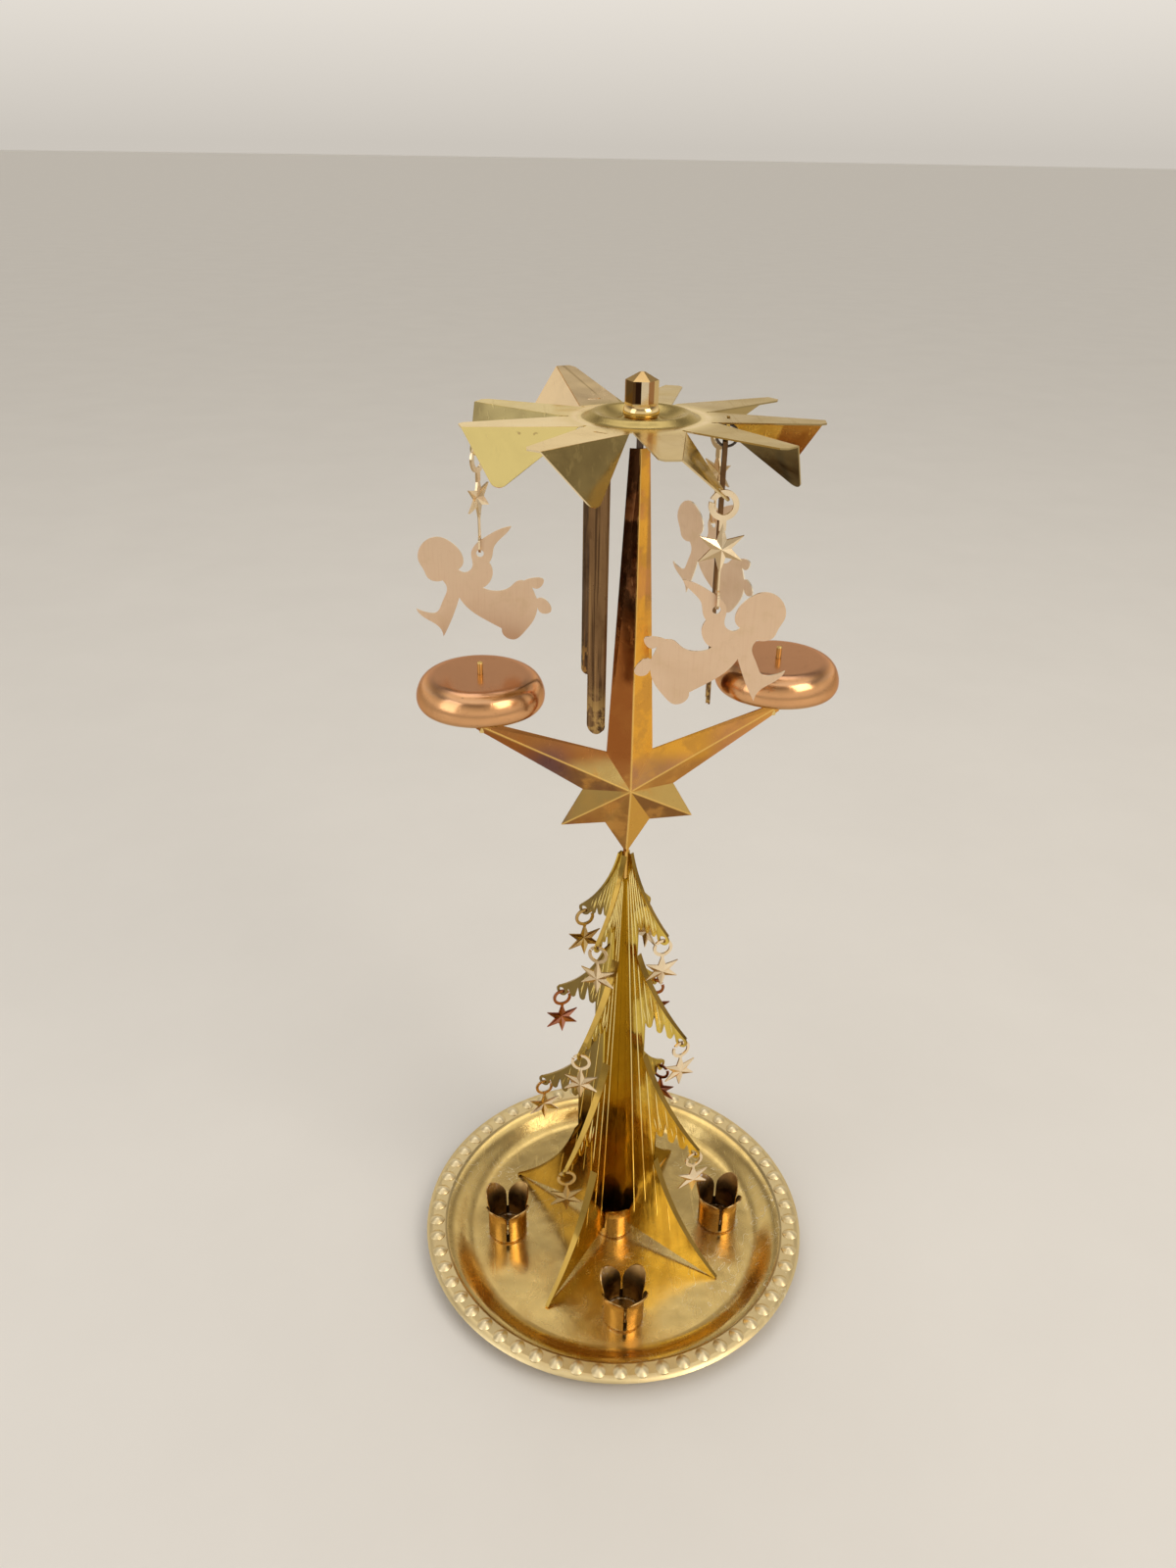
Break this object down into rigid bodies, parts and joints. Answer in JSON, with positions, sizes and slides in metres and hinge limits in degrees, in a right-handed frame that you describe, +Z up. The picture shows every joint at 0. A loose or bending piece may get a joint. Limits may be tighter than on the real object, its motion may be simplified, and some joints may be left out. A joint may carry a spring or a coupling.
{
  "type": "angel chime carousel",
  "caption": "Brass candle-driven table chime: round tray with candle cups, slotted fir tree, star mast with bells, and a fan wheel carrying flying figures and strikers.",
  "frame": {"origin": "centre of the tray's underside", "axes": "+Z up along the mast; -Y towards the front candle cup, +X to the right candle cup"},
  "size_m": [0.1334, 0.1334, 0.297],
  "materials": {
    "cup_brass": "soot-stained brass",
    "rivet_brass": "dull brass",
    "tray_brass": "scratched polished brass",
    "tree_gold": "bright lacquered brass",
    "ornament_brass": "brass, some pieces tarnished red",
    "mast_copper": "heat-tarnished brass",
    "needle_steel": "dark steel",
    "post_brass": "dull brass",
    "bell_copper": "satin, coppery tarnish",
    "wheel_brass": "satin pale brass",
    "hub_brass": "polished brass",
    "link_brass": "pale brass",
    "angel_brass": "brushed pale brass",
    "ring_steel": "dark wire",
    "striker_brass": "dark tarnished brass"
  },
  "bodies": {
    "stand": {"tray": "tray_brass", "candle_cup_front": "cup_brass", "candle_cup_right": "cup_brass", "candle_cup_back": "cup_brass", "candle_cup_left": "cup_brass", "cup_rivet_front": "rivet_brass", "cup_rivet_right": "rivet_brass", "cup_rivet_back": "rivet_brass", "cup_rivet_left": "rivet_brass", "centre_socket": "cup_brass", "socket_rivet": "rivet_brass", "tree_panel_first": "tree_gold", "tree_panel_second": "tree_gold", "mast_star": "mast_copper", "needle": "needle_steel", "bell_post_right": "post_brass", "bell_post_left": "post_brass"},
    "wheel": {"fan_wheel": "wheel_brass", "hub_collar": "hub_brass", "hub_cap": "hub_brass"},
    "ornament_wing1_bough1": {"tree_star_wing1_bough1": "ornament_brass"},
    "ornament_wing1_bough2": {"tree_star_wing1_bough2": "ornament_brass"},
    "ornament_wing1_bough3": {"tree_star_wing1_bough3": "ornament_brass"},
    "ornament_wing2_bough1": {"tree_star_wing2_bough1": "ornament_brass"},
    "ornament_wing2_bough2": {"tree_star_wing2_bough2": "ornament_brass"},
    "ornament_wing2_bough3": {"tree_star_wing2_bough3": "ornament_brass"},
    "ornament_wing3_bough1": {"tree_star_wing3_bough1": "ornament_brass"},
    "ornament_wing3_bough2": {"tree_star_wing3_bough2": "ornament_brass"},
    "ornament_wing3_bough3": {"tree_star_wing3_bough3": "ornament_brass"},
    "ornament_wing4_bough1": {"tree_star_wing4_bough1": "ornament_brass"},
    "ornament_wing4_bough2": {"tree_star_wing4_bough2": "ornament_brass"},
    "ornament_wing4_bough3": {"tree_star_wing4_bough3": "ornament_brass"},
    "gong_right": {"bell_right": "bell_copper"},
    "gong_left": {"bell_left": "bell_copper"},
    "link_1": {"star_link_1": "link_brass"},
    "figure_1": {"angel_1": "angel_brass"},
    "link_2": {"star_link_2": "link_brass"},
    "figure_2": {"angel_2": "angel_brass"},
    "link_3": {"star_link_3": "link_brass"},
    "figure_3": {"angel_3": "angel_brass"},
    "striker_1": {"striker_ring_1": "ring_steel", "striker_1": "striker_brass"},
    "striker_2": {"striker_ring_2": "ring_steel", "striker_2": "striker_brass"},
    "striker_3": {"striker_ring_3": "ring_steel", "striker_3": "striker_brass"}
  },
  "joints": [
    {"name": "wheel_spin", "type": "hinge", "parent": "stand", "child": "wheel", "pos_m": [0, 0, 0.28606], "axis": [0, 0, 1], "continuous": true},
    {"name": "ornament_swing_wing1_bough1", "type": "hinge", "parent": "stand", "child": "ornament_wing1_bough1", "pos_m": [0.01136, -0.00868, 0.13287], "axis": [0.9759, 0.2181, 0], "range_deg": [-15, 15]},
    {"name": "ornament_swing_wing1_bough2", "type": "hinge", "parent": "stand", "child": "ornament_wing1_bough2", "pos_m": [0.01811, -0.01385, 0.09687], "axis": [0.9232, 0.3843, 0], "range_deg": [-15, 15]},
    {"name": "ornament_swing_wing1_bough3", "type": "hinge", "parent": "stand", "child": "ornament_wing1_bough3", "pos_m": [0.02407, -0.0184, 0.05327], "axis": [0.9532, 0.3024, 0], "range_deg": [-15, 15]},
    {"name": "ornament_swing_wing2_bough1", "type": "hinge", "parent": "stand", "child": "ornament_wing2_bough1", "pos_m": [0.00868, 0.01136, 0.13287], "axis": [-0.6101, 0.7923, 0], "range_deg": [-15, 15]},
    {"name": "ornament_swing_wing2_bough2", "type": "hinge", "parent": "stand", "child": "ornament_wing2_bough2", "pos_m": [0.01385, 0.01811, 0.09687], "axis": [-0.9542, 0.299, 0], "range_deg": [-15, 15]},
    {"name": "ornament_swing_wing2_bough3", "type": "hinge", "parent": "stand", "child": "ornament_wing2_bough3", "pos_m": [0.0184, 0.02407, 0.05327], "axis": [-0.8878, 0.4602, 0], "range_deg": [-15, 15]},
    {"name": "ornament_swing_wing3_bough1", "type": "hinge", "parent": "stand", "child": "ornament_wing3_bough1", "pos_m": [-0.01136, 0.00868, 0.13287], "axis": [-0.9677, -0.2521, 0], "range_deg": [-15, 15]},
    {"name": "ornament_swing_wing3_bough2", "type": "hinge", "parent": "stand", "child": "ornament_wing3_bough2", "pos_m": [-0.01811, 0.01385, 0.09687], "axis": [-0.9759, -0.2181, 0], "range_deg": [-15, 15]},
    {"name": "ornament_swing_wing3_bough3", "type": "hinge", "parent": "stand", "child": "ornament_wing3_bough3", "pos_m": [-0.02407, 0.0184, 0.05327], "axis": [-0.9759, -0.2181, 0], "range_deg": [-15, 15]},
    {"name": "ornament_swing_wing4_bough1", "type": "hinge", "parent": "stand", "child": "ornament_wing4_bough1", "pos_m": [-0.00868, -0.01136, 0.13287], "axis": [0.9245, -0.3811, 0], "range_deg": [-15, 15]},
    {"name": "ornament_swing_wing4_bough2", "type": "hinge", "parent": "stand", "child": "ornament_wing4_bough2", "pos_m": [-0.01385, -0.01811, 0.09687], "axis": [0.9767, -0.2147, 0], "range_deg": [-15, 15]},
    {"name": "ornament_swing_wing4_bough3", "type": "hinge", "parent": "stand", "child": "ornament_wing4_bough3", "pos_m": [-0.0184, -0.02407, 0.05327], "axis": [0.999, 0.0454, 0], "range_deg": [-15, 15]},
    {"name": "bell_turn_right", "type": "hinge", "parent": "stand", "child": "gong_right", "pos_m": [0.04159, 0.00415, 0.21139], "axis": [0, 0, 1], "continuous": true},
    {"name": "bell_turn_left", "type": "hinge", "parent": "stand", "child": "gong_left", "pos_m": [-0.04159, -0.00415, 0.21139], "axis": [0, 0, 1], "continuous": true},
    {"name": "link_swing_1", "type": "hinge", "parent": "wheel", "child": "link_1", "pos_m": [0.02594, 0.03222, 0.27738], "axis": [-0.527, 0.8499, 0], "range_deg": [-12, 12]},
    {"name": "figure_rock_1", "type": "hinge", "parent": "link_1", "child": "figure_1", "pos_m": [0.02594, 0.03222, 0.25028], "axis": [-0.866, -0.5, 0], "range_deg": [-10, 10]},
    {"name": "link_swing_2", "type": "hinge", "parent": "wheel", "child": "link_2", "pos_m": [-0.04087, 0.00636, 0.27738], "axis": [-0.4726, -0.8813, 0], "range_deg": [-12, 12]},
    {"name": "figure_rock_2", "type": "hinge", "parent": "link_2", "child": "figure_2", "pos_m": [-0.04087, 0.00636, 0.25028], "axis": [-0.0872, -0.9962, 0], "range_deg": [-10, 10]},
    {"name": "link_swing_3", "type": "hinge", "parent": "wheel", "child": "link_3", "pos_m": [0.01493, -0.03857, 0.27738], "axis": [0.9995, 0.0314, 0], "range_deg": [-12, 12]},
    {"name": "figure_rock_3", "type": "hinge", "parent": "link_3", "child": "figure_3", "pos_m": [0.01493, -0.03857, 0.25028], "axis": [0, 1, 0], "range_deg": [-10, 10]},
    {"name": "striker_swing_1", "type": "hinge", "parent": "wheel", "child": "striker_1", "pos_m": [0.02182, -0.00072, 0.28459], "axis": [0.1426, 0.9898, 0], "range_deg": [-1, 9]},
    {"name": "striker_swing_2", "type": "hinge", "parent": "wheel", "child": "striker_2", "pos_m": [-0.01037, 0.01946, 0.28544], "axis": [-0.9285, -0.3714, 0], "range_deg": [-1, 9]},
    {"name": "striker_swing_3", "type": "hinge", "parent": "wheel", "child": "striker_3", "pos_m": [-0.01153, -0.01854, 0.28459], "axis": [0.7859, -0.6184, 0], "range_deg": [-1, 9]}
  ]
}
